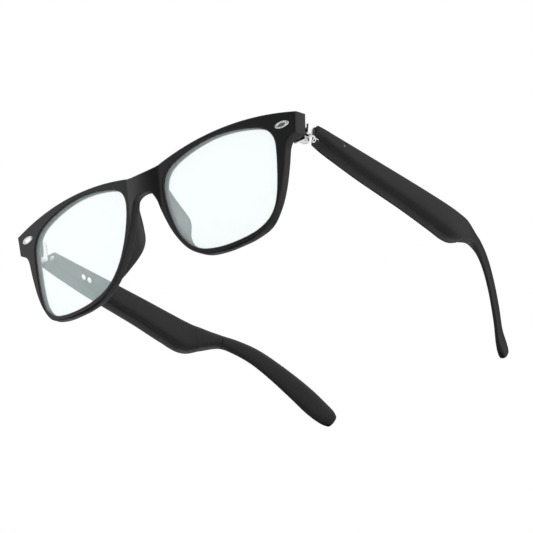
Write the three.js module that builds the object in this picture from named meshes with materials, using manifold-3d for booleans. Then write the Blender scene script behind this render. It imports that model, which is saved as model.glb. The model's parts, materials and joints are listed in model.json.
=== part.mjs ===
// Smart audio glasses with folding arms: a plastic front with two lenses, and an electronics arm on each side.
// Millimetres, +Z up. The front faces -Y, the arms run back along +Y, and the wearer's left is +X.
// The glasses stand open on their rims and ear tips. The origin is below their middle, on the surface they stand on.
import * as THREE from "three";
import { mergeVertices } from "three/addons/utils/BufferGeometryUtils.js";
import Module from "manifold-3d";

const wasm = await Module();
wasm.setup();

// ---------------------------------------------------------------- driving dimensions
const degree = Math.PI / 180;
const frontTilt = 12.5 * degree; // the front leans forward of square to the arms
const standingTilt = 5.1 * degree; // the arms slope down to the back when the glasses stand on a table
const gap = 0.3; // clear space between neighbouring pieces

const frontBend = 0.00207; // curvature of the front seen from above, 1/mm
const rimDepth = 3.4;
const bridgeHalfWidth = 8;
const bridgeBulge = 1.1; // the bridge stands this far in front of the rims
const endPiece = { outer: 72, inner: 63.6, top: 19.9, bottom: 12.2, front: 6.6, back: 10.8 };

const lens = { front: 0.8, thickness: 1.6, tuck: 0.5 }; // tuck: how far the rim holds the lens edge
const rivet = { u: 65.8, v: 16.6, length: 6, height: 2.7, front: -0.35, depth: 1.1 };

const hinge = { u: 67.6, w: 13.9, bottom: 11.2, radius: 1.6, pinRadius: 0.65 };
const knuckle = { height: 1.12, gap: 0.15, count: 5 };
const frontLeaf = { inner: 2.8, outer: 2.6, web: 1.4, thickness: 0.8, below: 1.2 }; // measured from the pin
const armLug = { front: 1.3, back: 0.6 }; // before and behind the pin
const screwHead = { radius: 1.25, low: 0.15, high: 0.75, slot: 0.4, slotDepth: 0.25 }; // above the barrel


const strip = { inner: 70.9, outer: 71.9, front: 8.0, back: 21, bottom: 15.2, top: 18.9 }; // in the arm's frame

const armSeam = 102; // the ear tip starts here
const seamGap = 0.04; // between the arm and its ear tip, counted in stations
const wall = 1.2;
const cover = { front: 18, back: 90, face: 67.5 }; // the cover is all of the arm inside of x = face

// ---------------------------------------------------------------- joining and cutting
// A closed three.js geometry as a manifold-3d solid.
function solid(geometry) {
  const bare = geometry.index ? geometry.toNonIndexed() : geometry.clone();
  bare.deleteAttribute("normal");
  bare.deleteAttribute("uv");
  const merged = mergeVertices(bare, 1e-4);
  return new wasm.Manifold(
    new wasm.Mesh({
      numProp: 3,
      vertProperties: merged.attributes.position.array,
      triVerts: new Uint32Array(merged.index.array),
    }),
  );
}

// A manifold-3d solid as a three.js geometry.
function geometryOf(body) {
  const mesh = body.getMesh();
  const geometry = new THREE.BufferGeometry();
  geometry.setAttribute("position", new THREE.BufferAttribute(mesh.vertProperties, 3));
  geometry.setIndex(new THREE.BufferAttribute(mesh.triVerts, 1));
  return geometry;
}

const join = (...bodies) => bodies.reduce((whole, body) => whole.add(body));
const cut = (body, ...tools) => tools.reduce((rest, tool) => rest.subtract(tool), body);

// A box given by its lowest and highest corners.
function box([x0, y0, z0], [x1, y1, z1]) {
  const geometry = new THREE.BoxGeometry(x1 - x0, y1 - y0, z1 - z0);
  return solid(geometry.translate((x0 + x1) / 2, (y0 + y1) / 2, (z0 + z1) / 2));
}

// A cylinder along X, between two values of x.
function cylinderAlongX(radius, x0, x1, y, z, sides = 20) {
  const geometry = new THREE.CylinderGeometry(radius, radius, x1 - x0, sides).rotateZ(Math.PI / 2);
  return solid(geometry.translate((x0 + x1) / 2, y, z));
}

// A cylinder along Y, between two values of y.
function cylinderAlongY(radius, y0, y1, x, z, sides = 20) {
  const geometry = new THREE.CylinderGeometry(radius, radius, y1 - y0, sides);
  return solid(geometry.translate(x, (y0 + y1) / 2, z));
}

// A cylinder along Z, between two values of z.
function cylinderAlongZ(radius, z0, z1, x, y, sides = 24) {
  const geometry = new THREE.CylinderGeometry(radius, radius, z1 - z0, sides).rotateX(Math.PI / 2);
  return solid(geometry.translate(x, y, (z0 + z1) / 2));
}

// A closed skin through equal loops of points, capped at both ends and turned to face outwards.
function loft(loops) {
  const sides = loops[0].length;
  const points = loops.flat();
  const triangles = [];
  for (let ring = 0; ring + 1 < loops.length; ring++) {
    for (let side = 0; side < sides; side++) {
      const a = ring * sides + side;
      const b = ring * sides + ((side + 1) % sides);
      triangles.push([a, b, b + sides], [a, b + sides, a + sides]);
    }
  }
  const last = (loops.length - 1) * sides;
  for (let side = 1; side + 1 < sides; side++) {
    triangles.push([0, side + 1, side], [last, last + side, last + side + 1]);
  }
  const volume = triangles.reduce((sum, [a, b, c]) => {
    return sum + points[a].dot(points[b].clone().cross(points[c]));
  }, 0);
  const order = volume < 0 ? triangles.map(([a, b, c]) => [a, c, b]) : triangles;
  const geometry = new THREE.BufferGeometry().setFromPoints(points);
  return solid(geometry.setIndex(order.flat()));
}

// ---------------------------------------------------------------- the front, in its own frame
// u runs to the wearer's left, w back from the front surface and v up the front. X, Y and Z stand for u, w and v.

const vectors = (pairs) => pairs.map(([x, y]) => new THREE.Vector2(x, y));

// The lens opening of the left rim, anticlockwise from the temple side.
const openingSpline = new THREE.CatmullRomCurve3(
  vectors([
    [62.0, 7.0], [61.3, 13.4], [57.6, 17.6], [50.5, 20.2], [41.5, 21.8], [32.5, 22.1],
    [22.5, 20.7], [14.2, 18.0], [10.4, 14.0], [10.0, 7.5], [12.3, -2.0], [16.6, -10.6],
    [22.8, -16.4], [31.5, -19.2], [42.0, -19.7], [51.5, -18.3], [57.6, -14.4], [60.6, -7.0],
  ]).map((point) => new THREE.Vector3(point.x, point.y, 0)),
  true,
);
const openingSides = 54;

// The opening's outline moved out by a distance, along its own normals.
function openingOutline(distance) {
  return Array.from({ length: openingSides }, (_, side) => {
    const at = side / openingSides;
    const point = openingSpline.getPoint(at);
    const along = openingSpline.getTangent(at);
    return new THREE.Vector2(point.x + along.y * distance, point.y - along.x * distance);
  });
}

// The left half of the front's outer edge, from the middle of the bridge's top round to the top of the nose arch.
function halfOutline() {
  const path = new THREE.Path();
  path.moveTo(0, 19.6);
  path.quadraticCurveTo(5, 19.6, bridgeHalfWidth, 20.4);
  path.bezierCurveTo(26, 24.9, 48, 26.4, endPiece.outer, endPiece.top);
  path.lineTo(71.2, endPiece.bottom);
  path.lineTo(68.6, 10.8);
  path.quadraticCurveTo(66.4, 9.6, 65.9, 5.8);
  path.splineThru(vectors([
    [64.8, 0.5], [62.7, -7.0], [59.8, -13.3], [55.4, -18.6], [48.6, -20.9], [41.2, -21.6], [33.5, -21.5],
    [26.0, -20.0], [18.8, -15.6], [12.6, -7.8], [8.2, 1.2], [6.3, 7.0], [4.4, 10.5],
  ]));
  path.quadraticCurveTo(2.8, 11.8, 0, 11.8);
  const stepsOf = { QuadraticBezierCurve: 4, CubicBezierCurve: 14, LineCurve: 1, SplineCurve: 40 };
  return path.curves.flatMap((curve, i) => curve.getPoints(stepsOf[curve.type]).slice(i ? 1 : 0));
}

// A flat outline with depth, from w0 to w1.
function plate(outline, w0, w1, holes = []) {
  const shape = new THREE.Shape(outline);
  shape.holes = holes.map((hole) => new THREE.Path(hole));
  const settings = { depth: w1 - w0, bevelEnabled: false };
  const geometry = new THREE.ExtrudeGeometry(shape, settings).translate(0, 0, -w1);
  return solid(geometry.rotateX(Math.PI / 2));
}

const mirrored = (outline) => outline.map((point) => new THREE.Vector2(-point.x, point.y)).reverse();

// Bends a flat solid to the front's curve and pushes the bridge forward.
function bent(body) {
  const geometry = geometryOf(body);
  const place = geometry.attributes.position;
  for (let i = 0; i < place.count; i++) {
    const u = place.getX(i);
    const bridge = bridgeBulge * Math.max(0, 1 - (u / bridgeHalfWidth) ** 2);
    place.setY(i, place.getY(i) + (frontBend * u * u) / 2 - bridge);
  }
  return solid(geometry);
}

// One moulded nose pad: a ridge along the nose side of the left rim that stands out of its back.
// Its crest runs from the bridge down to the bottom of the rim, in u, w and v.
const padCrest = new THREE.CatmullRomCurve3([
  [8.2, 5.0, 11], [9.0, 6.7, 7.5], [10.2, 8.9, 3.7], [11.4, 10.6, 0], [12.3, 10.1, -3.7], [13.6, 8.0, -7.5],
  [15.9, 6.0, -11], [18.8, 4.6, -14.5],
].map(([u, w, v]) => new THREE.Vector3(u, w, v)));
const pad = { root: 1, innerRoot: 0.5, outerRoot: 3.1, shoulder: 0.9, flat: 0.4, steps: 18 };

// How far from the middle the nose side of the rim is at a height.
const noseEdge = (v) => 8.7 - 0.42 * v + 0.011 * v * v;

function nosePad() {
  const loops = padCrest.getPoints(pad.steps).map(({ x: u, y: w, z: v }) => {
    const edge = noseEdge(v);
    const side = [
      [edge + pad.innerRoot, pad.root], [u - pad.shoulder, w - pad.shoulder], [u - pad.flat, w],
      [u + pad.flat, w], [u + pad.shoulder, w - pad.shoulder], [edge + pad.outerRoot, pad.root],
    ];
    return side.map(([across, back]) => new THREE.Vector3(across, back, v));
  });
  return loft(loops);
}

function ellipseOutline(centreU, centreV, length, height, sides = 24) {
  return Array.from({ length: sides }, (_, side) => {
    const turn = (2 * Math.PI * side) / sides;
    return new THREE.Vector2(
      centreU + (length / 2) * Math.cos(turn),
      centreV + (height / 2) * Math.sin(turn),
    );
  });
}

// The front: rims, bridge, nose pads and end pieces moulded in one, with a groove for each lens.
function frontFrame() {
  const half = halfOutline();
  const outline = [...half, ...mirrored(half).slice(1, -1)];
  const opening = openingOutline(0);
  const groove = openingOutline(lens.tuck + gap);
  const grooveEnds = [lens.front - gap, lens.front + lens.thickness + gap];
  const seat = ellipseOutline(rivet.u, rivet.v, rivet.length + 2 * gap, rivet.height + 2 * gap);
  const seatBack = rivet.front + rivet.depth + gap;
  const { outer, inner, top, bottom, front, back } = endPiece;
  const block = vectors([
    [inner, bottom + 0.2], [outer - 0.9, bottom + 0.2], [outer - 0.1, top - 0.1], [inner, top + 0.9],
  ]);

  let body = plate(outline, 0, rimDepth, [opening, mirrored(opening)]);
  for (const side of [(points) => points, mirrored]) {
    body = cut(body, plate(side(groove), ...grooveEnds), plate(side(seat), -1, seatBack));
  }
  body = bent(body);
  const ridge = nosePad();
  const lug = plate(block, front, back);
  body = join(body, ridge, flipped(ridge), lug, flipped(lug));
  return cut(body, ...[groove, mirrored(groove)].map((edge) => bent(plate(edge, ...grooveEnds))));
}

// The same solid on the wearer's right.
function flipped(body) {
  const geometry = geometryOf(body);
  const place = geometry.attributes.position;
  for (let i = 0; i < place.count; i++) place.setX(i, -place.getX(i));
  const corners = geometry.index.array;
  for (let i = 0; i < corners.length; i += 3) {
    [corners[i + 1], corners[i + 2]] = [corners[i + 2], corners[i + 1]];
  }
  return solid(geometry);
}

const lensBlank = () => bent(plate(openingOutline(lens.tuck), lens.front, lens.front + lens.thickness));

function ovalRivet() {
  const outline = ellipseOutline(rivet.u, rivet.v, rivet.length, rivet.height);
  return bent(plate(outline, rivet.front, rivet.front + rivet.depth));
}

// ---------------------------------------------------------------- the hinge, in the front's frame

// Height range of one knuckle of the barrel, counted from the bottom.
function knuckleRange(index) {
  const bottom = hinge.bottom + index * (knuckle.height + knuckle.gap);
  return [bottom, bottom + knuckle.height];
}

const barrelTop = knuckleRange(knuckle.count - 1)[1];
const pinHole = () => cylinderAlongZ(hinge.pinRadius + 0.1, hinge.bottom - 1, barrelTop + 1, hinge.u, hinge.w);

// The leaf on the back of the end piece, with the barrel's first, third and fifth knuckle.
function hingeFrontLeaf() {
  const plateFront = endPiece.back + gap;
  const plateBack = plateFront + frontLeaf.thickness;
  const plateTop = endPiece.top - frontLeaf.below;
  const { inner, outer, web } = frontLeaf;
  let leaf = box([hinge.u - inner, plateFront, hinge.bottom], [hinge.u + outer, plateBack, plateTop]);
  for (const index of [0, 2, 4]) {
    const [low, high] = knuckleRange(index);
    leaf = join(
      leaf,
      box([hinge.u - web, plateFront, low], [hinge.u + web, hinge.w, high]),
      cylinderAlongZ(hinge.radius, low, high, hinge.u, hinge.w),
    );
  }
  return cut(leaf, pinHole());
}

// The arm's leaf: the second and fourth knuckle, their lugs, and a strip that runs back into the arm.
function hingeArmLeaf() {
  let leaf = null;
  for (const index of [1, 3]) {
    const [low, high] = knuckleRange(index);
    const lug = join(
      cylinderAlongZ(hinge.radius, low, high, hinge.u, hinge.w),
      box([hinge.u, hinge.w - armLug.front, low], [strip.outer, hinge.w + armLug.back, high]),
    );
    leaf = leaf ? join(leaf, lug) : lug;
  }
  const tail = box([strip.inner, strip.front, strip.bottom], [strip.outer, strip.back, strip.top]);
  return join(turnedX(cut(leaf, pinHole()), frontTilt), tail);
}

function turnedX(body, angle) {
  return solid(geometryOf(body).rotateX(angle));
}

function hingeScrew() {
  const shank = cylinderAlongZ(hinge.pinRadius, hinge.bottom + 0.1, barrelTop + 0.4, hinge.u, hinge.w);
  const { radius, low, high, slot, slotDepth } = screwHead;
  const head = cylinderAlongZ(radius, barrelTop + low, barrelTop + high, hinge.u, hinge.w);
  const driverSlot = box(
    [hinge.u - 2 * radius, hinge.w - slot / 2, barrelTop + high - slotDepth],
    [hinge.u + 2 * radius, hinge.w + slot / 2, barrelTop + high + 1],
  );
  return cut(join(shank, head), driverSlot);
}

// ---------------------------------------------------------------- the arm, seen level as it is worn
// Stations along the left arm: y, the x and z of the arm's middle, and its height and width there.
const stations = [
  [11.6, 70.1, 16.9, 4.6, 7.2],
  [15.0, 70.1, 16.85, 4.9, 7.4],
  [20.0, 70.0, 16.35, 6.0, 7.5],
  [27.0, 69.95, 15.9, 7.0, 7.5],
  [40.0, 69.8, 15.25, 8.5, 7.5],
  [62.0, 69.55, 14.55, 10.0, 7.5],
  [77.0, 69.35, 13.7, 11.4, 7.5],
  [86.0, 68.9, 13.35, 11.8, 7.5],
  [93.5, 67.6, 15.3, 8.6, 7.3],
  [102.0, 64.9, 17.1, 5.2, 4.8],
  [109.0, 62.6, 16.8, 6.2, 2.6],
  [116.5, 59.4, 14.6, 7.3, 2.0],
  [124.5, 55.5, 9.9, 8.3, 1.9],
  [132.5, 51.1, 3.8, 9.3, 2.1],
  [139.0, 47.2, -2.1, 9.4, 2.5],
  [143.6, 45.0, -5.2, 7.8, 3.4],
  [146.1, 44.0, -6.7, 4.0, 3.2],
];
const middles = stations.map(([y, x, z]) => new THREE.Vector3(x, y, z));
const spine = new THREE.CatmullRomCurve3(middles, false, "catmullrom");
const sizes = new THREE.SplineCurve(vectors(stations.map(([, , , height, width]) => [width, height])));
const lastPlace = stations.length - 1;
const placeOf = (y) => {
  const next = stations.findIndex((station) => station[0] >= y);
  return next - (stations[next][0] - y) / (stations[next][0] - stations[next - 1][0]);
};
const seamPlace = placeOf(armSeam);

// The middle of the arm at a place counted in stations, with the directions across it and up it.
function armFrame(place) {
  const middle = spine.getPoint(place / lastPlace);
  const along = spine.getTangent(place / lastPlace);
  const across = new THREE.Vector3(along.y, -along.x, 0).normalize();
  return { middle, across, up: across.clone().cross(along) };
}

// One loop round the arm: a rounded rectangle drawn in by an inset. Its top corners are the sharpest and its
// lower outer corner the roundest, and all four soften towards the ear tip.
const cornerSoftness = { top: 0.3, innerBottom: 0.5, outerBottom: 0.64, tip: 0.78, from: 86, to: 104 };

function armLoop(place, inset, sides) {
  const { middle, across, up } = armFrame(place);
  const size = sizes.getPoint(place / lastPlace);
  const toTip = THREE.MathUtils.smoothstep(middle.y, cornerSoftness.from, cornerSoftness.to);
  return Array.from({ length: sides }, (_, side) => {
    const turn = (2 * Math.PI * (side + 0.5)) / sides;
    const lower = Math.cos(turn) > 0 ? cornerSoftness.outerBottom : cornerSoftness.innerBottom;
    const corner = Math.sin(turn) > 0 ? cornerSoftness.top : lower;
    const softness = THREE.MathUtils.lerp(corner, cornerSoftness.tip, toTip);
    const reach = (wave, half) => half * Math.sign(wave) * Math.abs(wave) ** softness;
    const sideways = across.clone().multiplyScalar(reach(Math.cos(turn), size.x / 2 - inset));
    return middle.clone().add(sideways).addScaledVector(up, reach(Math.sin(turn), size.y / 2 - inset));
  });
}

function armBody(from, to, steps, inset = 0, sides = 24) {
  const loops = [];
  for (let step = 0; step <= steps; step++) {
    loops.push(armLoop(from + ((to - from) * step) / steps, inset, sides));
  }
  return loft(loops);
}

const far = 200; // larger than the glasses

// The screw in the front face of the arm that clamps the hinge strip.
const fixing = {
  x: 67.9, z: 16.8, room: 0.2, socket: 0.6,
  headRadius: 1, headFront: 15.3, headBack: 16.3, shankRadius: 0.5, shankBack: 17.5,
};

// The ear tip is moulded on a flat steel core that reaches into the back of the arm.
// Its slot runs past both of its ends and past the seam by a part of a station.
const core = {
  thickness: 0.6, height: 2, room: 0.2, from: placeOf(96), to: placeOf(136), pastEnd: 0.05, pastSeam: 0.2,
};

function coreBody(room, from, to) {
  const steps = 12;
  const loops = [];
  for (let step = 0; step <= steps; step++) {
    const { middle, across, up } = armFrame(from + ((to - from) * step) / steps);
    const corners = [[1, 1], [-1, 1], [-1, -1], [1, -1]];
    loops.push(corners.map(([sideways, upwards]) => {
      const corner = middle.clone().addScaledVector(across, sideways * (core.thickness / 2 + room));
      return corner.addScaledVector(up, upwards * (core.height / 2 + room));
    }));
  }
  return loft(loops);
}

// Charging contacts, status light and sound outlet.
const contact = { radius: 1.1, places: [30.4, 33.4], z: 14.7, front: 66.15, back: 68.3 };
const statusLight = { radius: 0.45, y: 24.9, z: 16.8, inner: 71.2, outer: 73.62, room: 0.2 };
const soundOutlet = { from: 74, to: 82, width: 2.6, x: 69.4, top: 9.9, slot: 0.6, pitch: 1.4, rim: 0.5 };

const noseFront = 15.6; // inside of the hinge strip the arm starts here, clear of the barrel
const armHousing = () => armBody(0, seamPlace, 16);

function armShell() {
  const lidRoom = box([0, cover.front - gap, 0], [cover.face + gap, cover.back + gap, far]);
  const cavity = armBody(placeOf(cover.front), placeOf(cover.back), 10, wall).intersect(
    box([0, cover.front + wall, 0], [far, cover.back - 2 * wall, far]),
  );
  const stripSlot = box(
    [strip.inner - gap, 0, strip.bottom - gap],
    [strip.outer + gap, strip.back + gap, strip.top + gap],
  );
  const barrelRoom = box([0, 0, 0], [strip.inner - gap, noseFront, far]);
  const { x, z, room, headRadius, headBack, shankRadius, shankBack } = fixing;
  const fixingBore = join(
    cylinderAlongY(headRadius + room, 0, headBack + room, x, z),
    cylinderAlongY(shankRadius + room, headBack, shankBack + room, x, z),
  );
  const lightRadius = statusLight.radius + statusLight.room;
  const lightBore = cylinderAlongX(lightRadius, cover.face, far, statusLight.y, statusLight.z, 12);
  const outlet = box(
    [soundOutlet.x - soundOutlet.width / 2 - gap, soundOutlet.from - gap, 0],
    [soundOutlet.x + soundOutlet.width / 2 + gap, soundOutlet.to + gap, soundOutlet.top + 2],
  );
  const coreSlot = coreBody(core.room, core.from - core.pastEnd, seamPlace + core.pastSeam);
  return cut(armHousing(), lidRoom, cavity, barrelRoom, stripSlot, fixingBore, lightBore, outlet, coreSlot);
}

function armCover() {
  const lid = armHousing().intersect(box([0, cover.front, 0], [cover.face, cover.back, far]));
  const bores = contact.places.map((y) => {
    return cylinderAlongX(contact.radius + gap, 60, far, y, contact.z);
  });
  return cut(lid, ...bores);
}

function earTip() {
  const body = armBody(seamPlace + seamGap, lastPlace, 24);
  return cut(body, coreBody(core.room, seamPlace - core.pastSeam, core.to + core.pastEnd));
}

const tipCore = () => coreBody(0, core.from, core.to);

function fixingScrew() {
  const { x, z, socket, headRadius, headFront, headBack, shankRadius, shankBack } = fixing;
  const head = cylinderAlongY(headRadius, headFront, headBack, x, z);
  const shank = cylinderAlongY(shankRadius, (headFront + headBack) / 2, shankBack, x, z);
  return cut(join(head, shank), cylinderAlongY(headRadius / 2, 0, headFront + socket, x, z, 6));
}

const chargeContact = (y) => () => cylinderAlongX(contact.radius, contact.front, contact.back, y, contact.z);

function lightPipe() {
  const { radius, inner, outer, y, z } = statusLight;
  return cylinderAlongX(radius, inner, outer, y, z, 12);
}

function soundGrille() {
  const { x, width, from, to, top, slot, pitch, rim } = soundOutlet;
  const slab = box([x - width / 2, from, 0], [x + width / 2, to, top]);
  let grille = slab.intersect(armHousing());
  for (let y = from + 2 * rim; y < to - rim; y += pitch) {
    grille = cut(grille, box([x - width / 2 + rim, y, 0], [x + width / 2 - rim, y + slot, far]));
  }
  return grille;
}

// What the arm holds: each is [lowest corner, highest corner].
const inside = {
  circuit_board: [[68.6, 22.5, 14.7], [69.3, 39.5, 17.5]],
  radio_chip: [[69.6, 31, 14.7], [70.7, 36.5, 17.3]],
  microphone: [[69.6, 23, 15.2], [70.7, 26, 17.0]],
  battery: [[68.1, 40.5, 13.2], [70.8, 66, 17.4]],
  touch_plate: [[71.1, 42, 13.6], [71.3, 60, 17.0]],
  speaker: [[68.0, 72, 11.4], [69.9, 83.5, 16.4]],
};

// ---------------------------------------------------------------- finishes
const finish = (color, roughness, metalness, more = {}) => {
  return () => new THREE.MeshStandardMaterial({ color, roughness, metalness, ...more });
};
const finishes = {
  satinBlack: finish(0x161617, 0.5, 0),
  softBlack: finish(0x131314, 0.62, 0),
  clearLens: finish(0xe6fbfa, 0.05, 0, { transparent: true, opacity: 0.25 }),
  polishedSteel: finish(0xd8dadc, 0.18, 1),
  contactMetal: finish(0xf0efe9, 0.25, 1),
  copper: finish(0xb87a4b, 0.4, 1),
  boardGreen: finish(0x1c5a3a, 0.55, 0),
  chipBlack: finish(0x202225, 0.5, 0),
  foil: finish(0xb9bcc0, 0.4, 0.8),
  lightPipe: finish(0x9aa6ad, 0.3, 0),
};

// ---------------------------------------------------------------- assembly
const front = new THREE.Group();
front.rotation.x = frontTilt;
const worn = new THREE.Group();
worn.add(front);

function addPiece(group, name, body, material, mirrorX = false) {
  const mesh = new THREE.Mesh(geometryOf(body), material());
  mesh.geometry.computeVertexNormals();
  mesh.name = name;
  mesh.scale.x = mirrorX ? -1 : 1;
  group.add(mesh);
}

addPiece(front, "front_frame", frontFrame(), finishes.satinBlack);

const frontPieces = {
  lens: [lensBlank, finishes.clearLens],
  oval_rivet: [ovalRivet, finishes.polishedSteel],
  hinge_front_leaf: [hingeFrontLeaf, finishes.polishedSteel],
  hinge_screw: [hingeScrew, finishes.polishedSteel],
};
const armPieces = {
  hinge_arm_leaf: [hingeArmLeaf, finishes.polishedSteel],
  hinge_fixing_screw: [fixingScrew, finishes.polishedSteel],
  arm_shell: [armShell, finishes.satinBlack],
  arm_cover: [armCover, finishes.satinBlack],
  ear_tip: [earTip, finishes.softBlack],
  tip_core: [tipCore, finishes.polishedSteel],
  charge_contact_front: [chargeContact(contact.places[0]), finishes.contactMetal],
  charge_contact_rear: [chargeContact(contact.places[1]), finishes.contactMetal],
  status_light: [lightPipe, finishes.lightPipe],
  sound_grille: [soundGrille, finishes.chipBlack],
  circuit_board: [() => box(...inside.circuit_board), finishes.boardGreen],
  radio_chip: [() => box(...inside.radio_chip), finishes.chipBlack],
  microphone: [() => box(...inside.microphone), finishes.foil],
  battery: [() => box(...inside.battery), finishes.foil],
  touch_plate: [() => box(...inside.touch_plate), finishes.copper],
  speaker: [() => box(...inside.speaker), finishes.chipBlack],
};

for (const [group, pieces] of [[front, frontPieces], [worn, armPieces]]) {
  for (const [name, [make, material]] of Object.entries(pieces)) {
    const body = make();
    addPiece(group, "left_" + name, body, material);
    addPiece(group, "right_" + name, body, material, true);
  }
}

// Tip the worn glasses back until rims and ear tips both touch the table, and put the origin under their middle.
worn.rotation.x = -standingTilt;
const glasses = new THREE.Group();
glasses.name = "smart_glasses";
glasses.add(worn);
glasses.updateMatrixWorld(true);
const room = new THREE.Box3().setFromObject(glasses, true);
worn.position.y = -(room.min.y + room.max.y) / 2;
worn.position.z = -room.min.z;

export default glasses;
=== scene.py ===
import json
import math

import bmesh
import bpy
import numpy as np
from mathutils import Matrix


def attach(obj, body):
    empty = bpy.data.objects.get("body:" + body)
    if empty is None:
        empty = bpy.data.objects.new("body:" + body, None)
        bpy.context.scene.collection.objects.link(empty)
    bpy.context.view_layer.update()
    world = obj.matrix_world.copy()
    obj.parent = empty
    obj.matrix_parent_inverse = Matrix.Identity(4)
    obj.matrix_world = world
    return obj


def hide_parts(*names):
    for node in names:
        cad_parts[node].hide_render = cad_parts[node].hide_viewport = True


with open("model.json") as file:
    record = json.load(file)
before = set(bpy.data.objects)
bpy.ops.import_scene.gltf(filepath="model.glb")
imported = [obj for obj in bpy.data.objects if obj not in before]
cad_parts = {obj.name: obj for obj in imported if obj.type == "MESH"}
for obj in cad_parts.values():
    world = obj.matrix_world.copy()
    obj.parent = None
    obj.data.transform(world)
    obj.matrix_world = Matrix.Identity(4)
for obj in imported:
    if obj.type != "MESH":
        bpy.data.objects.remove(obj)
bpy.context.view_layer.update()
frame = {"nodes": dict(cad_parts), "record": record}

# %% [markdown]
# Smart audio glasses, standing open on their rims and ear tips. The imported CAD model is loaded first and
# never moved. It already has the right sizes, so every fine piece below is worked out in the CAD model's own
# frame and takes the place of one CAD node.

# %% [markdown]
# Three frames are in play, and all three are the CAD's. The front's frame has u to the wearer's left, w
# back from the front surface and v up. The worn frame is level with the arms: the front leans forward in
# it. The standing frame is the model's own, where the worn glasses are tipped back until rims and ear tips
# touch the table. The shapes are written in millimetres in the frame where they are simplest, and turned
# into the standing frame at the end.

# %% Frames
MM = 0.001
FRONT_TILT = math.radians(12.5)
STAND_TILT = math.radians(5.1)
HINGE_POINT = np.array([67.6, 13.9, 14.3])  # the hinge joint's own place in the front's frame
LEFT_FOLD = next(joint for joint in frame["record"]["behaviour"]["joints"] if joint["name"] == "left_fold")


def turn_x(points, angle):
    """Points turned about X by an angle: y and z mix as y cos - z sin and y sin + z cos."""
    x, y, z = np.moveaxis(np.asarray(points, float), -1, 0)
    cos, sin = math.cos(angle), math.sin(angle)
    return np.stack([x, y * cos - z * sin, y * sin + z * cos], -1)


PLACE = np.array(LEFT_FOLD["pos_m"]) / MM - turn_x(HINGE_POINT, FRONT_TILT - STAND_TILT)


def from_worn(points):
    """Worn frame in millimetres to the model's frame in millimetres."""
    return turn_x(points, -STAND_TILT) + PLACE


def from_front(points):
    """Front's frame in millimetres to the model's frame in millimetres."""
    return from_worn(turn_x(points, FRONT_TILT))


print("place of the worn frame, mm:", PLACE.round(3))

# %% [markdown]
# The camera looks up at the glasses from below and from the wearer's left, through a long lens from a metre
# and a half away. That keeps the far arm almost as large as the near one. Its directions are stated in the
# worn frame, where the glasses are level, and turned with them.

# %% Camera
CAMERA = {
    "right": [0.71742, 0.69438, 0.05607],
    "up": [0.30732, -0.38769, 0.86905],
    "back": [0.62519, -0.60625, -0.49153],
    "place": [999.655, -907.773, -776.102],
}
SENSOR = 36.0
PICTURE_WIDTH = 533
FOCAL_LENGTH = 4310.6 / PICTURE_WIDTH * SENSOR

turned = [turn_x(CAMERA[axis], -STAND_TILT) for axis in ("right", "up", "back")]
camera_data = bpy.data.cameras.new("camera")
camera_data.sensor_width = SENSOR
camera_data.lens = FOCAL_LENGTH
camera_data.clip_end = 20
camera = bpy.data.objects.new("camera", camera_data)
matrix = np.eye(4)
matrix[:3, :3] = np.stack(turned, 1)
matrix[:3, 3] = from_worn(CAMERA["place"]) * MM
camera.matrix_world = Matrix(matrix.tolist())
bpy.context.collection.objects.link(camera)
bpy.context.scene.camera = camera
print("camera at, m:", matrix[:3, 3].round(3), " lens, mm:", round(FOCAL_LENGTH, 1))

# %% [markdown]
# A material here is a small sum of noises, so it reads best as arithmetic. One class wraps a socket, and
# the operators on it add the Math nodes. Another adds any node from its type, its settings and its inputs.


# %% Shader arithmetic
class Amount:
    """A number that varies over a surface: + - and * add the Math nodes that work it out."""

    def __init__(self, nodes, socket):
        self.nodes = nodes
        self.socket = socket

    def math(self, operation, first, second):
        return self.nodes.add("ShaderNodeMath", {"operation": operation}, {0: first, 1: second})

    def __add__(self, other):
        return self.math("ADD", self, other)

    def __sub__(self, other):
        return self.math("SUBTRACT", self, other)

    def __rsub__(self, other):
        return self.math("SUBTRACT", other, self)

    def __mul__(self, other):
        return self.math("MULTIPLY", self, other)

    __radd__ = __add__
    __rmul__ = __mul__


class Nodes:
    """Adds nodes to one tree."""

    def __init__(self, tree):
        self.tree = tree

    def add(self, kind, settings=None, inputs=None, output=0):
        node = self.tree.nodes.new(kind)
        for name, value in (settings or {}).items():
            setattr(node, name, value)
        for name, value in (inputs or {}).items():
            if isinstance(value, Amount):
                self.tree.links.new(value.socket, node.inputs[name])
            else:
                node.inputs[name].default_value = value
        return Amount(self, node.outputs[output])

    def noise(self, per_mm, detail=3.0, roughness=0.5):
        """Noise from 0 to 1 over the piece, with about that many lumps in each millimetre."""
        place = self.add("ShaderNodeTexCoord", output="Object")
        inputs = {"Vector": place, "Scale": per_mm / MM, "Detail": detail, "Roughness": roughness}
        return self.add("ShaderNodeTexNoise", {}, inputs)

    def blend(self, amount, low, high):
        """A colour between two, by an amount from 0 to 1."""
        settings = {"data_type": "RGBA"}
        return self.add("ShaderNodeMix", settings, {"Factor": amount, 6: (*low, 1), 7: (*high, 1)}, output=2)


def finish_of(name, make, **fixed):
    """A Principled material: make(nodes) returns the inputs that vary, and fixed holds the others."""
    material = bpy.data.materials.new(name)
    material.use_nodes = True
    tree = material.node_tree
    shader = tree.nodes["Principled BSDF"]
    for socket, value in fixed.items():
        shader.inputs[socket.replace("_", " ")].default_value = value
    for socket, amount in make(Nodes(tree)).items():
        tree.links.new(amount.socket, shader.inputs[socket])
    return material


# %% [markdown]
# Front and arms are moulded in black nylon from a finely eroded mould: a matt black whose skin has a grain
# of about a tenth of a millimetre. The grain is bump, and slow patches of wear change the gloss a little.
# The ear tips are a softer, more rubbery black, with less gloss and no grain.


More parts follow.
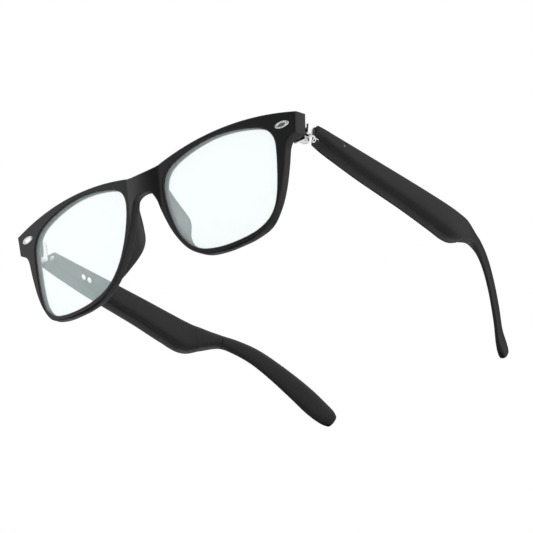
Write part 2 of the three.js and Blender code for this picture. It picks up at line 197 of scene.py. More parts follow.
# %% Moulded plastics
def moulded(grain_per_mm, depth_mm, gloss, spread, dark, pale):
    """Returns a maker: grain as bump, and roughness and colour that drift slowly over the piece."""

    def make(nodes):
        grain = nodes.noise(grain_per_mm, detail=2.0)
        patches = nodes.noise(0.12, detail=4.0, roughness=0.6)
        scuffs = nodes.noise(0.9, detail=6.0, roughness=0.7)
        bump = nodes.add("ShaderNodeBump", {}, {"Strength": 0.35, "Distance": depth_mm * MM, "Height": grain})
        return {
            "Base Color": nodes.blend(patches * 0.6 + grain * 0.4, dark, pale),
            "Roughness": gloss + (patches - 0.5) * spread + (scuffs - 0.5) * spread * 0.6,
            "Normal": bump,
        }

    return make


front_plastic = finish_of(
    "front_plastic", moulded(7, 0.012, 0.36, 0.12, (0.004, 0.0041, 0.0043), (0.007, 0.0071, 0.0074)), IOR=1.5,
    Specular_IOR_Level=0.36,
)
arm_plastic = finish_of(
    "arm_plastic", moulded(7, 0.014, 0.42, 0.12, (0.004, 0.0041, 0.0043), (0.007, 0.0071, 0.0074)), IOR=1.5,
    Specular_IOR_Level=0.22,
)
tip_plastic = finish_of(
    "tip_plastic", moulded(7, 0.007, 0.44, 0.1, (0.004, 0.0041, 0.0043), (0.007, 0.0071, 0.0074)), IOR=1.5,
    Specular_IOR_Level=0.22,
)

# %% [markdown]
# The rivets and the hinge are polished steel. Polished metal is drawn almost only by what it reflects, so
# its detail is in its roughness: fine rubbing marks, and a faint waviness that bends the reflections. The
# charging contacts are plated, and a little warmer.


# %% Metals and small finishes
def polished(low, high, color, darker):
    """Returns a maker for a metal with rubbing marks in its gloss and a faint waviness."""

    def make(nodes):
        rub = nodes.noise(2.2, detail=8.0, roughness=0.75)
        wave = nodes.noise(0.5, detail=1.0)
        bump = nodes.add("ShaderNodeBump", {}, {"Strength": 0.2, "Distance": 0.02 * MM, "Height": wave})
        return {
            "Base Color": nodes.blend(rub, darker, color),
            "Roughness": rub * (high - low) + low,
            "Normal": bump,
        }

    return make


rivet_metal = finish_of(
    "rivet_metal", polished(0.05, 0.14, (0.9, 0.91, 0.92), (0.76, 0.77, 0.78)), Metallic=1.0
)
hinge_metal = finish_of(
    "hinge_metal", polished(0.16, 0.3, (0.93, 0.93, 0.94), (0.8, 0.8, 0.81)), Metallic=1.0
)
contact_metal = finish_of(
    "contact_metal", polished(0.14, 0.3, (0.92, 0.89, 0.83), (0.78, 0.75, 0.68)), Metallic=1.0
)
copper = finish_of("copper", polished(0.3, 0.5, (0.72, 0.42, 0.28), (0.55, 0.3, 0.19)), Metallic=1.0)
foil = finish_of("foil", polished(0.3, 0.55, (0.62, 0.63, 0.65), (0.5, 0.51, 0.53)), Metallic=0.8)
board = finish_of("board", moulded(3, 0.02, 0.4, 0.2, (0.01, 0.09, 0.045), (0.02, 0.14, 0.07)))
chip = finish_of("chip", moulded(8, 0.01, 0.5, 0.1, (0.015, 0.016, 0.018), (0.025, 0.026, 0.028)))
grille_mesh = finish_of("grille_mesh", moulded(6, 0.02, 0.5, 0.2, (0.008, 0.008, 0.009), (0.02, 0.02, 0.021)))
light_pipe = finish_of(
    "light_pipe", moulded(3, 0.004, 0.25, 0.1, (0.10, 0.11, 0.12), (0.16, 0.17, 0.18)), IOR=1.5
)

# %% [markdown]
# The lenses are clear, with a thin coating that turns them a very pale cyan. What is behind them looks paler,
# as through a light veil. Real glass would need many bounces for that. A nearly transparent surface that
# keeps a fifth of its own pale colour gives the same veil at no cost, and the rest of the light goes straight
# through. The veil also glows faintly by itself: a painted glow, light given off by the lens in place of what
# real glass scatters from all round and not from its front alone.


# %% Lens
def coated(nodes):
    """Faint smears in the coating: they change the gloss, how much of the veil shows and the tint of its
    painted glow.
    """
    smears = nodes.noise(0.05, detail=5.0, roughness=0.6)
    return {
        "Base Color": nodes.blend(smears, (0.80, 0.95, 0.94), (0.86, 0.98, 0.97)),
        "Roughness": smears * 0.06 + 0.03,
        "Alpha": smears * 0.05 + 0.18,
        # painted glow: the lens gives off this light itself, in place of light scattered in the glass
        "Emission Color": nodes.blend(smears, (0.80, 0.98, 0.96), (0.86, 1.0, 0.98)),
    }


lens_clear = finish_of("lens_clear", coated, IOR=1.5, Coat_Weight=0.4, Emission_Strength=0.35)
lens_clear.surface_render_method = "BLENDED"
print("materials:", len(bpy.data.materials))

# %% [markdown]
# Every fine piece is a grid of points: rows along the piece, columns round its section. The mesh is the
# grid's quads, closed round the columns, round the rows too where the piece is a ring, and with a cap on
# each end where it is a rod. The faces are written as whole arrays of corner numbers.


# %% Grid to mesh
def quads(rows, columns, ring):
    """Corner numbers of a grid's quads. It closes round its columns, and round its rows if it is a ring."""
    row = np.arange(rows if ring else rows - 1)[:, None]
    column = np.arange(columns)[None, :]
    next_row = (row + 1) % rows
    next_column = (column + 1) % columns
    corners = [row * columns + column, next_row * columns + column]
    corners += [next_row * columns + next_column, row * columns + next_column]
    return np.stack([np.broadcast_to(c, (row.size, columns)) for c in corners], -1).reshape(-1, 4)


def add_piece(name, grids, material, body, replaces=(), ring=False, sharp=35, drop=None):
    """One object from grids of points in millimetres, in the model's frame, with faces turned outwards."""
    vertices, faces, start = [], [], 0
    for grid in grids:
        rows, columns = grid.shape[:2]
        faces += (quads(rows, columns, ring) + start).tolist()
        if not ring:
            last = start + (rows - 1) * columns
            faces += [list(range(start, start + columns)), list(range(last, last + columns))]
        vertices.append(grid.reshape(-1, 3) * MM)
        start += rows * columns
    mesh = bpy.data.meshes.new(name)
    mesh.from_pydata(np.concatenate(vertices).tolist(), [], faces)
    cleaned = bmesh.new()
    cleaned.from_mesh(mesh)
    bmesh.ops.remove_doubles(cleaned, verts=cleaned.verts, dist=2e-6)
    if drop:
        bmesh.ops.delete(cleaned, geom=[face for face in cleaned.faces if drop(face)], context="FACES")
    bmesh.ops.dissolve_degenerate(cleaned, edges=cleaned.edges, dist=1e-6)
    bmesh.ops.recalc_face_normals(cleaned, faces=cleaned.faces)
    cleaned.to_mesh(mesh)
    open_edges = sum(1 for edge in cleaned.edges if len(edge.link_faces) != 2)
    cleaned.free()
    mesh.polygons.foreach_set("use_smooth", np.ones(len(mesh.polygons), bool))
    mesh.set_sharp_from_angle(angle=math.radians(sharp))
    mesh.materials.append(material)
    piece = bpy.data.objects.new(name, mesh)
    bpy.context.collection.objects.link(piece)
    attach(piece, body)
    if replaces:
        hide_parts(*replaces)
    print(f"{name}: {len(mesh.polygons)} faces, {open_edges} edges not shared by two")
    return piece


MIRROR = np.array([-1.0, 1.0, 1.0])
SIDES = {"left": np.array([1.0, 1.0, 1.0]), "right": MIRROR}

# %% [markdown]
# The outlines are few points with smooth curves through them: a Catmull-Rom spline where the line wanders,
# and Bezier arcs where it is one sweep. Both are evaluated as whole arrays.


# %% Curves
def spline(points, places, closed=False):
    """Catmull-Rom curve through points, at places counted in points. Each stretch is one cubic."""
    points = np.asarray(points, float)
    count = len(points)
    first = np.floor(places).astype(int)
    if not closed:
        first = np.clip(first, 0, count - 2)
    t = (np.asarray(places) - first)[:, None]
    near = [first - 1, first, first + 1, first + 2]
    near = [n % count if closed else np.clip(n, 0, count - 1) for n in near]
    a, b, c, d = (points[n] for n in near)
    return 0.5 * (2 * b + (c - a) * t + (2 * a - 5 * b + 4 * c - d) * t**2 + (3 * b - a - 3 * c + d) * t**3)


def bezier(points, t):
    """Bezier curve of any degree: straight lines between its points, taken again and again."""
    points = [np.asarray(p, float)[None, :] for p in points]
    t = np.asarray(t)[:, None]
    while len(points) > 1:
        points = [p * (1 - t) + q * t for p, q in zip(points, points[1:])]
    return points[0]


def inward_normals(outline):
    """Unit normals to the left of a closed outline's direction, from each point's two neighbours."""
    along = np.roll(outline, -1, 0) - np.roll(outline, 1, 0)
    normal = np.stack([-along[:, 1], along[:, 0]], 1)
    return normal / np.linalg.norm(normal, axis=1, keepdims=True)


# %% [markdown]
# The front is one moulding: two rims, the bridge and the end pieces. Half of it is a ring round the lens
# opening, so half of it is a closed tube: rows go round the opening, columns go round the rim's section.
# Each row joins a point of the opening to its partner on the outer edge. The partners of one stretch lie on
# the middle of the bridge, where the two halves are joined and the wall between them is taken out. All
# edges carry a small radius, as a mould gives them.

# %% Front outlines
OPENING = [
    [62.0, 7.0], [61.3, 13.4], [57.6, 17.6], [50.5, 20.2], [41.5, 21.8], [32.5, 22.1],
    [22.5, 20.7], [14.2, 18.0], [10.4, 14.0], [10.0, 7.5], [12.3, -2.0], [16.6, -10.6],
    [22.8, -16.4], [31.5, -19.2], [42.0, -19.7], [51.5, -18.3], [57.6, -14.4], [60.6, -7.0],
]
LOWER_RIM = [
    [4.4, 10.5], [6.3, 7.0], [8.2, 1.2], [12.6, -7.8], [18.8, -15.6], [26.0, -20.0], [33.5, -21.5],
    [41.2, -21.6], [48.6, -20.9], [55.4, -18.6], [59.8, -13.3], [62.7, -7.0], [64.8, 0.5], [65.9, 5.8],
]
EDGE_RADIUS = 0.5
BRIDGE_TOP = 19.6
ARCH_TOP = 11.8
MIDDLE_FROM, MIDDLE_TO = 7.75, 8.45  # the places round the opening that face the middle of the bridge

# Each stretch of the outer edge: its curve, its start and end round the opening, and its number of rows.
STRETCHES = [
    (lambda t: bezier([[65.9, 5.8], [66.4, 9.6], [68.6, 10.8]], t), 0.0, 0.55, 10),
    (lambda t: bezier([[68.6, 10.8], [71.2, 12.2]], t), 0.55, 0.85, 6),
    (lambda t: bezier([[71.2, 12.2], [72.0, 19.9]], t), 0.85, 1.55, 14),
    (lambda t: bezier([[72.0, 19.9], [48, 26.4], [26, 24.9], [8.0, 20.4]], t), 1.55, 7.1, 90),
    (lambda t: bezier([[8.0, 20.4], [5, 19.6], [0, BRIDGE_TOP]], t), 7.1, MIDDLE_FROM, 12),
    (
        lambda t: bezier([[0, BRIDGE_TOP - EDGE_RADIUS], [0, ARCH_TOP + EDGE_RADIUS]], t),
        MIDDLE_FROM, MIDDLE_TO, 12,
    ),
    (lambda t: bezier([[0, ARCH_TOP], [2.8, ARCH_TOP], [4.4, 10.5]], t), MIDDLE_TO, 8.85, 8),
]
RIM_PLACES = [8.85, 9, 10, 11, 12, 13, 14, 15, 16, 17, 18]
RIM_PARTNERS = [0, 0.9, 2.3, 3.3, 4.2, 5.7, 7.1, 8.5, 9.8, 11.1, 13]


def outer_and_opening():
    """Partner points on the outer edge and the opening, and which rows lie on the middle of the bridge."""
    outer, places, middle = [], [], []
    for curve, start, end, rows in STRETCHES:
        on_middle = curve(np.array([0.0, 1.0]))[:, 0].max() == 0
        t = np.linspace(0, 1, rows + 1)
        keep = slice(1, -1) if on_middle else slice(0, -1)
        if end == MIDDLE_FROM:  # the row that the middle starts from is kept too
            keep = slice(0, None)
        outer.append(curve(t)[keep])
        places.append((start + (end - start) * t)[keep])
        middle.append(np.full(len(places[-1]), on_middle))
    places.append(np.linspace(RIM_PLACES[0], 18, 150)[:-1])
    outer.append(spline(LOWER_RIM, np.interp(places[-1], RIM_PLACES, RIM_PARTNERS)))
    middle.append(np.full(len(places[-1]), False))
    places = np.concatenate(places)
    return np.concatenate(outer), spline(OPENING, places, closed=True), np.concatenate(middle)


outer_edge, opening_edge, on_middle_rows = outer_and_opening()
print("rows round the rim:", len(outer_edge), " on the middle:", int(on_middle_rows.sum()))

# %% [markdown]
# The front is bent to a shallow arc, and the bridge swells forward as a shallow cylinder between two fine
# creases. The end pieces reach further back than the rims, to carry the hinges.

# %% Front surface
FRONT_BEND = 0.00207
RIM_DEPTH = 3.4
END_PIECE_BACK = 10.8
BRIDGE_HALF = 8.0
BRIDGE_BULGE = 1.1


def smooth(value, low, high):
    """0 below low, 1 above high, and an S curve between."""
    t = np.clip((value - low) / (high - low), 0, 1)
    return t * t * (3 - 2 * t)


def front_surface(u):
    """Depth of the front face: a parabola for the bend, less a parabola where the bridge swells."""
    return FRONT_BEND * u**2 / 2 - BRIDGE_BULGE * np.maximum(0, 1 - (u / BRIDGE_HALF) ** 2)


def back_surface(u, v):
    """Depth of the back face: the front face moved back, then a flat plane behind the end piece."""
    rim = front_surface(u) + RIM_DEPTH
    return rim + (END_PIECE_BACK - rim) * smooth(u, 63.0, 64.2) * smooth(v, 10.4, 12.2)


def front_half():
    """Rows round the opening, columns round the section: rounded edges, with faces between them."""
    inner_normal = -inward_normals(opening_edge)
    outer_normal = inward_normals(outer_edge)
    outer_normal[on_middle_rows] = 0
    top_end = np.flatnonzero(on_middle_rows)[0] - 1
    arch_end = np.flatnonzero(on_middle_rows)[-1] + 1
    outer_normal[top_end] = [0, -1]
    outer_normal[arch_end] = [0, 1]
    angles = np.linspace(0, math.pi / 2, 6)
    faces = np.linspace(0, 1, 26)[1:-1]
    inner_seat = opening_edge + inner_normal * EDGE_RADIUS
    outer_seat = outer_edge + outer_normal * EDGE_RADIUS
    columns = []

    def column(flat, depth, behind):
        columns.append((flat, depth, behind))

    for a in angles:  # opening edge, front
        column(inner_seat - inner_normal * EDGE_RADIUS * math.cos(a), EDGE_RADIUS * (1 - math.sin(a)), False)
    for f in faces:
        column(inner_seat * (1 - f) + outer_seat * f, 0, False)
    for a in angles:  # outer edge, front
        column(outer_seat - outer_normal * EDGE_RADIUS * math.sin(a), EDGE_RADIUS * (1 - math.cos(a)), False)
    for a in angles:  # outer edge, back
        column(outer_seat - outer_normal * EDGE_RADIUS * math.cos(a), EDGE_RADIUS * (1 - math.sin(a)), True)
    for f in faces[::-1]:
        column(inner_seat * (1 - f) + outer_seat * f, 0, True)
    for a in angles:  # opening edge, back
        column(inner_seat - inner_normal * EDGE_RADIUS * math.sin(a), EDGE_RADIUS * (1 - math.cos(a)), True)
    flat = np.stack([c[0] for c in columns], 1)
    inset = np.array([c[1] for c in columns])[None, :]
    behind = np.array([c[2] for c in columns])[None, :]
    u, v = flat[..., 0], flat[..., 1]
    w = np.where(behind, back_surface(u, v) - inset, front_surface(u) + inset)
    return np.stack([u, w, v], -1)


half = front_half()
add_piece(
    "front_frame_fine",
    [from_front(half), from_front(half * MIRROR)],
    front_plastic,
    "front",
    replaces=["front_frame"],
    ring=True,
    sharp=50,
    drop=lambda face: max(abs(vert.co.x) for vert in face.verts) < 2e-6,
)

# %% [markdown]
# The nose pads are moulded on: each is a ridge along the nose side of a rim, highest half way down and run
# out at both ends. The crest is a curve in space, and the section is a few straight pieces whose corners
# are cut off again and again until it is round.

# %% Nose pads
PAD_CREST = [
    [7.5, 2.6, 13.6], [8.1, 4.6, 11.2], [9.0, 6.7, 7.5], [10.2, 8.9, 3.7], [11.4, 10.5, 0],
    [12.3, 10.0, -3.7],
    [13.6, 8.0, -7.5], [15.9, 6.0, -11], [18.8, 4.2, -14.2], [21.2, 2.4, -16.2],
]
# beside what, how far across from it, the part of the crest's depth, and millimetres added to that depth
PAD_SECTION = [
    ("rim", 0.35, 0, 1.2), ("rim", 0.5, 0.35, 1.4), ("crest", -0.95, 1, -0.9), ("crest", -0.35, 1, 0.12),
    ("crest", 0.45, 1, 0.12), ("crest", 1.0, 1, -0.9), ("rim", 2.6, 0.35, 1.4), ("rim", 2.7, 0, 1.2),
]


def cut_corners(loops, times):
    """Chaikin's cut: each corner gives way to points a quarter along the two sides that meet there."""
    for _ in range(times):
        following = np.roll(loops, -1, 1)
        pair = np.stack([loops * 0.75 + following * 0.25, loops * 0.25 + following * 0.75], 2)
        loops = pair.reshape(loops.shape[0], -1, 3)
    return loops


def nose_pad():
    """Loops across the ridge: root on the nose side, crest, root on the lens side."""
    crest = spline(PAD_CREST, np.linspace(0, len(PAD_CREST) - 1, 80))
    u, w, v = crest.T
    rim = spline(LOWER_RIM, np.linspace(5, 0, 60))
    edge = np.interp(v, rim[:, 1], rim[:, 0])
    beside = {"rim": edge, "crest": u}
    corners = [
        np.stack([beside[base] + across, w * share + depth, v], -1)
        for base, across, share, depth in PAD_SECTION
    ]
    return cut_corners(np.stack(corners, 1), 3)


pad_loops = nose_pad()
for side, flip in SIDES.items():
    add_piece(
        f"{side}_nose_pad", [from_front(pad_loops * flip)], front_plastic, "front",
        sharp=60,
    )

# %% [markdown]
# A lens is a shallow bent disc, held in the rim. Rings shrink from its outline to a point in the middle,
# once for the front face and once for the back, and the two faces meet in a rounded edge.

# %% Lenses
LENS_FRONT = 0.8
LENS_THICKNESS = 1.6
LENS_TUCK = 0.35


def lens_rings():
    """Rings from the middle of the front face out over the edge to the middle of the back face."""
    places = np.linspace(0, 18, 217)[:-1]
    outline = spline(OPENING, places, closed=True)
    outline = outline - inward_normals(outline) * LENS_TUCK
    centre = outline.mean(0)
    face = np.linspace(0.002, 0.985, 26)
    edge = np.linspace(-1, 1, 9)
    scale = np.concatenate([face, 0.985 + 0.015 * np.sqrt(1 - edge**2), face[::-1]])
    depth = np.concatenate([face * 0, (edge + 1) / 2, face * 0 + 1])
    flat = centre + (outline - centre)[None] * scale[:, None, None]
    u, v = flat[..., 0], flat[..., 1]
    w = FRONT_BEND * u**2 / 2 + LENS_FRONT + LENS_THICKNESS * depth[:, None]
    return np.stack([u, w, v], -1)


rings = lens_rings()
for side, flip in SIDES.items():
    add_piece(
        f"{side}_lens_fine", [from_front(rings * flip)], lens_clear, "front",
        replaces=[f"{side}_lens"],
    )

# %% [markdown]
# Each end piece carries an oval steel rivet: a bright raised rim round a shallow dish. Its profile, from
# the middle outwards, is carried round an ellipse.

# %% Rivets
RIVET = {"u": 65.8, "v": 16.6, "length": 6.0, "height": 2.7, "stands": 0.35}
RIVET_PROFILE = [
    [0.003, 0.04], [0.25, 0.04], [0.45, 0.05], [0.56, 0.07], [0.64, 0.14], [0.69, 0.30], [0.75, 0.42],
    [0.84, 0.43], [0.92, 0.34], [0.97, 0.16], [1.0, -0.1], [1.0, -0.8], [0.003, -0.8],
]


def rivet_rings():
    """Rings of the profile: each point is a fraction of the ellipse and a height in front of the surface."""
    profile = np.array(RIVET_PROFILE)
    profile = np.concatenate([spline(profile[:11], np.linspace(0, 10, 61)), profile[11:]])
    turn = np.linspace(0, 2 * math.pi, 97)[:-1]
    u = RIVET["u"] + RIVET["length"] / 2 * profile[:, :1] * np.cos(turn)
    v = RIVET["v"] + RIVET["height"] / 2 * profile[:, :1] * np.sin(turn)
    rise = profile[:, 1:] * RIVET["stands"] / 0.43
    return np.stack([u, FRONT_BEND * u**2 / 2 - rise, v], -1)


rivet = rivet_rings()
for side, flip in SIDES.items():
    add_piece(
        f"{side}_rivet_fine", [from_front(rivet * flip)], rivet_metal, "front",
        replaces=[f"{side}_oval_rivet"],
    )

# %% [markdown]
# An arm is one sweep: a rounded, lopsided rectangle carried along a curve in space. It is tall at the
# electronics, dips to a blade behind the ear and ends in a rounded paddle. The stations give the curve and
# the size of the section.

# %% Arm sweep
# y, x and z of the middle, height and width
STATIONS = np.array([
    [11.6, 70.1, 16.9, 4.6, 7.2], [15.0, 70.1, 16.85, 4.9, 7.4], [20.0, 70.0, 16.35, 6.0, 7.5],
    [27.0, 69.95, 15.9, 7.0, 7.5], [40.0, 69.8, 15.25, 8.5, 7.5], [62.0, 69.55, 14.55, 10.0, 7.5],
    [77.0, 69.35, 13.7, 11.4, 7.5], [86.0, 68.9, 13.35, 11.8, 7.5], [93.5, 67.6, 15.3, 8.6, 7.3],
    [102.0, 64.9, 17.1, 5.2, 4.8],
    [109.0, 62.6, 16.8, 6.2, 2.6], [116.5, 59.4, 14.6, 7.3, 2.0], [124.5, 55.5, 9.9, 8.3, 1.9],
    [132.5, 51.1, 3.8, 9.3, 2.1], [139.0, 47.2, -2.1, 9.4, 2.5], [143.6, 45.0, -5.2, 7.8, 3.4],
    [146.1, 44.0, -6.7, 4.0, 3.2],
])
SOFTNESS = {"top": 0.3, "inner": 0.5, "outer": 0.64, "tip": 0.78}
SEAM_Y = 102.0


def place_of(y):
    """Where a value of y comes in the list of stations."""
    return np.interp(y, STATIONS[:, 0], np.arange(len(STATIONS)))


def arm_loops(places, turns, grow=1.0):
    """Superellipse loops: rows at places along the stations, columns at angles round the section.

    The cosine, raised to the corner's softness, goes across the arm, and the sine goes up it.
    """
    values = spline(STATIONS, places)
    step = 1e-3
    ahead = spline(STATIONS, np.minimum(places + step, len(STATIONS) - 1))
    behind = spline(STATIONS, np.maximum(places - step, 0))
    along = (ahead - behind)[:, [1, 0, 2]]
    along /= np.linalg.norm(along, axis=1, keepdims=True)
    across = np.stack([along[:, 1], -along[:, 0], 0 * along[:, 0]], 1)
    across /= np.linalg.norm(across, axis=1, keepdims=True)
    up = np.cross(across, along)
    middle = values[:, [1, 0, 2]]
    half_height, half_width = values[:, 3] / 2 * grow, values[:, 4] / 2 * grow
    turns = np.broadcast_to(turns, (len(places), np.shape(turns)[-1]))
    cos, sin = np.cos(turns), np.sin(turns)
    lower = np.where(cos > 0, SOFTNESS["outer"], SOFTNESS["inner"])
    corner = np.where(sin > 0, SOFTNESS["top"], lower)
    softness = corner + (SOFTNESS["tip"] - corner) * smooth(values[:, :1], 86, 104)
    sideways = half_width[:, None] * np.sign(cos) * np.abs(cos) ** softness
    upwards = half_height[:, None] * np.sign(sin) * np.abs(sin) ** softness
    return middle[:, None] + across[:, None] * sideways[..., None] + up[:, None] * upwards[..., None]


def even_turns(count, power=2.6):
    """Angles packed near the four corners of the section, where it bends most."""
    t = np.linspace(-1, 1, count // 4 + 1)[:-1]
    quarter = math.pi / 4 * (1 + np.sign(t) * np.abs(t) ** power)
    return np.concatenate([quarter + k * math.pi / 2 for k in range(4)])


TURNS = even_turns(96)

# %% [markdown]
# The housing of an arm and its inner cover share the same outer skin. The cover is the part inside a plane,
# and the housing is the rest. So both are the same sweep with x held back at the plane, and the hair line
# between them is the space left by holding the two at slightly different planes. The end of the housing is
# also held back where the hinge barrel turns.

# %% Arm housings and covers
COVER_FACE = 67.5
COVER_FROM = 18.0
COVER_TO = 90.0
COVER_SEAM = 0.08
ARM_SKIN = 0.996  # keeps the smooth sweep inside the flat-sided one it stands for
BARREL_ROOM = {"to": 15.6, "x": 72.05}


def housing_loops():
    """The whole sweep to the seam. Between the cover's ends x is at least the cover's plane."""
    step = 0.01
    zones = [
        (11.6, BARREL_ROOM["to"], 8), (BARREL_ROOM["to"] + step, COVER_FROM, 8),
        (COVER_FROM + step, COVER_TO - step, 90), (COVER_TO, SEAM_Y - 0.1, 26),
    ]
    y = np.concatenate([np.linspace(*zone) for zone in zones])
    loops = arm_loops(place_of(y), TURNS, ARM_SKIN)
    row_y = y[:, None]
    plane = np.full_like(row_y, -1000.0)
    plane = np.where(row_y <= BARREL_ROOM["to"], BARREL_ROOM["x"], plane)
    plane = np.where((row_y > COVER_FROM) & (row_y < COVER_TO), COVER_FACE + COVER_SEAM / 2, plane)
    loops[..., 0] = np.maximum(loops[..., 0], plane)
    return loops


def cover_loops():
    """The same sweep between the cover's ends, with x at most the cover's plane."""
    y = np.linspace(COVER_FROM + COVER_SEAM, COVER_TO - COVER_SEAM, 100)
    loops = arm_loops(place_of(y), TURNS, ARM_SKIN)
    loops[..., 0] = np.minimum(loops[..., 0], COVER_FACE - COVER_SEAM / 2)
    return loops


housing, cover = housing_loops(), cover_loops()
for side, flip in SIDES.items():
    body = f"{side}_arm"
    add_piece(
        f"{side}_arm_housing", [from_worn(housing * flip)], arm_plastic, body, replaces=[f"{side}_arm_shell"],
        sharp=40,
    )
    add_piece(
        f"{side}_arm_cover_fine", [from_worn(cover * flip)], arm_plastic, body,
        replaces=[f"{side}_arm_cover"], sharp=40,
    )

# %% [markdown]
# The ear tip is moulded separately over its steel core and meets the housing in a fine groove. Both of its
# ends are rounded: the loops shrink to nothing along a quarter circle.

# %% Ear tips
TIP_GROOVE = 0.08
TIP_CAP = (0.55, 1.1)  # the round end starts this part of a station early, and is this many millimetres long
TIP_SKIN = 0.985


def tip_loops():
    """The sweep from the seam to its end, with a small radius at the groove and a round end."""
    start, end = place_of(SEAM_Y + TIP_GROOVE), len(STATIONS) - 1 - TIP_CAP[0]
    places = np.concatenate([
        start + 0.05 * (1 - np.cos(np.linspace(0, math.pi / 2, 7)[:-1])),
        np.linspace(start + 0.05, end, 110),
    ])
    into = np.clip((places - start) / 0.05, 0, 1)
    grow = TIP_SKIN * (0.94 + 0.06 * np.sqrt(1 - (1 - into) ** 2))
    loops = arm_loops(places, TURNS, grow)
    angles = np.linspace(0, math.pi / 2, 12)[1:]
    last = loops[-1]
    middle = last.mean(0)
    forward = loops[-1].mean(0) - loops[-2].mean(0)
    forward /= np.linalg.norm(forward)
    shrink = np.maximum(np.cos(angles), 0.004)[:, None, None]
    advance = TIP_CAP[1] * np.sin(angles)[:, None, None]
    return np.concatenate([loops, middle + (last - middle) * shrink + forward * advance])


tip = tip_loops()
for side, flip in SIDES.items():
    add_piece(
        f"{side}_ear_tip_fine", [from_worn(tip * flip)], tip_plastic, f"{side}_arm",
        replaces=[f"{side}_ear_tip"], sharp=50,
    )

# %% [markdown]
# Two round charging contacts sit in the cover, each a shallow dome with a turned edge. The profile is
# carried round a circle whose axis points across the arm.

# %% Charging contacts
CONTACT = {"radius": 1.1, "z": 14.7, "front": 30.4, "rear": 33.4}
CONTACT_PROFILE = [
    [0.01, 0.24], [0.35, 0.23], [0.65, 0.2], [0.85, 0.15], [0.97, 0.06], [1.0, -0.1], [1.0, -0.8],
    [0.01, -0.8],
]


def contact_rings(y):
    """Rings of a dome: a fraction of the radius, and a height out of the arm's inner face."""
    profile = np.array(CONTACT_PROFILE)
    turn = np.linspace(0, 2 * math.pi, 49)[:-1]
    face = arm_loops(place_of([y]), np.array([math.pi]), ARM_SKIN)[0, 0, 0]
    radius = CONTACT["radius"] * profile[:, :1]
    x = face - profile[:, 1:] + 0 * turn
    return np.stack([x, y + radius * np.cos(turn), CONTACT["z"] + radius * np.sin(turn)], -1)


for side, flip in SIDES.items():
    for which in ("front", "rear"):
        add_piece(
            f"{side}_contact_{which}", [from_worn(contact_rings(CONTACT[which]) * flip)], contact_metal,
            f"{side}_arm", replaces=[f"{side}_charge_contact_{which}"],
        )

# %% [markdown]
# A small light shows through the outer face near the hinge, as a dot of clouded plastic nearly flush with
# the arm. Under the arm, in front of the ear, a row of short bars covers the opening that the sound comes
# out of.

# %% Status lights and sound grilles
LIGHT = {"y": 24.9, "z": 16.8, "radius": 0.45, "stands": 0.05, "skirt": 0.5}
GRILLE = {"x": 69.4, "width": 1.9, "from": 75.0, "to": 81.6, "pitch": 1.1, "bar": 0.3, "stands": 0.1}


def light_rings():
    """Rings of a low dome: the radius goes with the sine of an angle, the height with its cosine."""
    tilt = np.linspace(0.01, math.pi / 2, 10)[:, None]
    turn = np.linspace(0, 2 * math.pi, 33)[:-1]
    face = arm_loops(place_of([LIGHT["y"]]), np.array([0.0]), ARM_SKIN)[0, 0, 0]
    radius = np.concatenate([LIGHT["radius"] * np.sin(tilt), [[LIGHT["radius"]]]])
    x = np.concatenate([face + LIGHT["stands"] * np.cos(tilt), [[face - LIGHT["skirt"]]]])
    y = LIGHT["y"] + radius * np.cos(turn)
    z = LIGHT["z"] + radius * np.sin(turn)
    return np.stack([x + 0 * turn, y, z], -1)


def grille_bar(y):
    """One bar across the underside: a small circle carried along the lowest line of the arm at that y."""
    across = np.linspace(-0.5, 0.5, 9)
    underside = np.linspace(1.2 * math.pi, 1.8 * math.pi, 61)
    section = arm_loops(place_of([y]), underside, ARM_SKIN)[0]
    x = GRILLE["x"] + GRILLE["width"] * across
    order = np.argsort(section[:, 0])
    under = np.interp(x, section[order, 0], section[order, 2])
    turn = np.linspace(0, 2 * math.pi, 13)[:-1]
    radius = GRILLE["bar"] * np.sqrt(np.maximum(0.02, 1 - np.abs(2 * across) ** 6))[:, None]
    round_y = y + radius * np.cos(turn)
    round_z = under[:, None] + radius * np.sin(turn) + GRILLE["bar"] - GRILLE["stands"]
    return np.stack([x[:, None] + 0 * turn, round_y, round_z], -1)


dome = light_rings()
bars = [grille_bar(y) for y in np.arange(GRILLE["from"], GRILLE["to"], GRILLE["pitch"])]
for side, flip in SIDES.items():
    body = f"{side}_arm"
    add_piece(
        f"{side}_status_dome", [from_worn(dome * flip)], light_pipe, body,
        replaces=[f"{side}_status_light"],
    )
    add_piece(
        f"{side}_grille_bars", [from_worn(bar * flip) for bar in bars], grille_mesh, body,
        replaces=[f"{side}_sound_grille"],
    )

# %% [markdown]
# The pieces that keep their CAD shape get their finish by name: the hinge leaves and screws in steel, and
# the board, battery and speaker inside the arms.

# %% Finishes for CAD nodes
FINISHES = {
    "hinge_front_leaf": hinge_metal, "hinge_arm_leaf": hinge_metal, "hinge_screw": hinge_metal,
    "hinge_fixing_screw": hinge_metal, "tip_core": hinge_metal, "status_light": light_pipe,
    "sound_grille": grille_mesh, "circuit_board": board, "radio_chip": chip, "microphone": foil,
    "battery": foil, "touch_plate": copper, "speaker": chip, "front_frame": front_plastic, "lens": lens_clear,
    "oval_rivet": rivet_metal, "arm_shell": arm_plastic, "arm_cover": arm_plastic, "ear_tip": tip_plastic,
    "charge_contact_front": contact_metal, "charge_contact_rear": contact_metal,
}
for name, node in frame["nodes"].items():
    plain = name.removeprefix("left_").removeprefix("right_")
    for material_slot in node.material_slots:
        material_slot.material = FINISHES[plain]

# %% [markdown]
# The glasses stand on a plain pale floor. The camera is below it, so the floor has one side only: from
# above it is a pale matt surface, and from below it isn't there. Light comes through it from below in the
# same way.

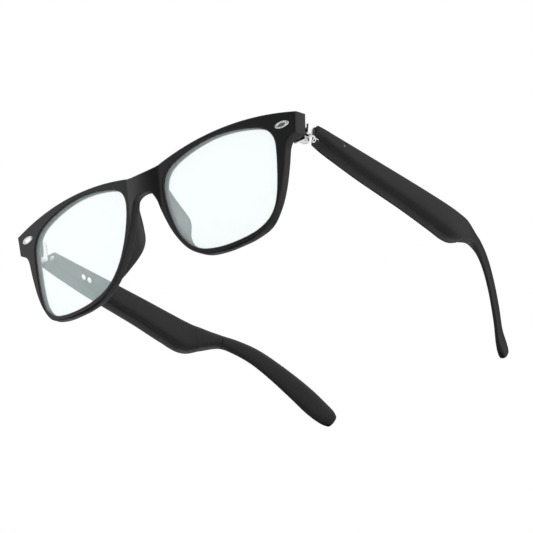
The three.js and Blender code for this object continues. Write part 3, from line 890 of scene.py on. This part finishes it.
# %% Floor
floor_mesh = bpy.data.meshes.new("floor")
reach = 3.0
corners = [(-reach, -reach, 0), (reach, -reach, 0), (reach, reach, 0), (-reach, reach, 0)]
floor_mesh.from_pydata(corners, [], [(0, 1, 2, 3)])
floor = bpy.data.objects.new("floor", floor_mesh)
floor.location.z = -0.0004
bpy.context.collection.objects.link(floor)
floor_finish = bpy.data.materials.new("floor")
floor_finish.use_nodes = True
tree = floor_finish.node_tree
nodes = Nodes(tree)
below = nodes.add("ShaderNodeNewGeometry", output="Backfacing")
pale = tree.nodes["Principled BSDF"]
pale.inputs["Base Color"].default_value = (0.8, 0.8, 0.8, 1)
pale.inputs["Roughness"].default_value = 0.9
clear = tree.nodes.new("ShaderNodeBsdfTransparent")
one_sided = tree.nodes.new("ShaderNodeMixShader")
tree.links.new(below.socket, one_sided.inputs[0])
tree.links.new(pale.outputs[0], one_sided.inputs[1])
tree.links.new(clear.outputs[0], one_sided.inputs[2])
tree.links.new(one_sided.outputs[0], tree.nodes["Material Output"].inputs["Surface"])
floor_mesh.materials.append(floor_finish)

# %% [markdown]
# Black plastic is drawn almost only by what it reflects. The glasses stand in a white room with two dark
# parts: one straight in front of them, so that the faces turned that way go black, and one behind them as
# the eye sees them, so that every rounded edge ends in a dark line. The rest of the room gives a soft grey
# sheen. The dark parts belong to the world and not to black cards, so nothing hides the glasses from
# another angle. The camera itself sees plain white. One large soft light from above draws a shadow on the
# floor.

# %% Light
ROOM_LIGHT = 1.15
# direction, the angles from it where the dark starts and is full, and how much light is left there
DARK_PARTS = [
    ((0.05, -1.0, 0.22), 56, 24, 0.1),
    ((-0.63, 0.65, 0.43), 66, 24, 0.06),
]

world = bpy.data.worlds.new("world")
world.use_nodes = True
bpy.context.scene.world = world
tree = world.node_tree
nodes = Nodes(tree)
seen = nodes.add("ShaderNodeLightPath", output="Is Camera Ray")
direction = nodes.add("ShaderNodeTexCoord", output="Generated")


def left_by(part):
    """Light left by one dark part: 1 outside it, its own value inside, with a soft edge between."""
    towards, start, full, left = part
    axis = np.array(towards) / np.linalg.norm(towards)
    both = {0: direction, 1: axis.tolist()}
    cosine = nodes.add("ShaderNodeVectorMath", {"operation": "DOT_PRODUCT"}, both, output=1)
    limits = {
        "From Min": math.cos(math.radians(start)), "From Max": math.cos(math.radians(full)),
        "To Min": 1.0, "To Max": left,
    }
    return nodes.add("ShaderNodeMapRange", {"interpolation_type": "SMOOTHSTEP"}, {"Value": cosine, **limits})


strength = seen + (1 - seen) * left_by(DARK_PARTS[0]) * left_by(DARK_PARTS[1]) * ROOM_LIGHT
tree.nodes["Background"].inputs["Color"].default_value = (1, 1, 1, 1)
tree.links.new(strength.socket, tree.nodes["Background"].inputs["Strength"])

AIM = np.array([0.0, 0.0, 0.025])
LIGHTS = {
    # direction from the glasses, distance, size, power
    "top_light": ((0.25, 0.1, 1.0), 1.1, 0.5, 5.0),
}
for name, (towards_light, distance, size, power) in LIGHTS.items():
    light_data = bpy.data.lights.new(name, "AREA")
    light_data.size = size
    light_data.energy = power
    light = bpy.data.objects.new(name, light_data)
    back = np.array(towards_light) / np.linalg.norm(towards_light)
    right = np.cross([0, 1.0, 0], back)
    right /= np.linalg.norm(right)
    matrix = np.eye(4)
    matrix[:3, :3] = np.stack([right, np.cross(back, right), back], 1)
    matrix[:3, 3] = AIM + back * distance
    light.matrix_world = Matrix(matrix.tolist())
    light.visible_camera = False
    bpy.context.collection.objects.link(light)

bpy.context.scene.view_settings.view_transform = "Standard"
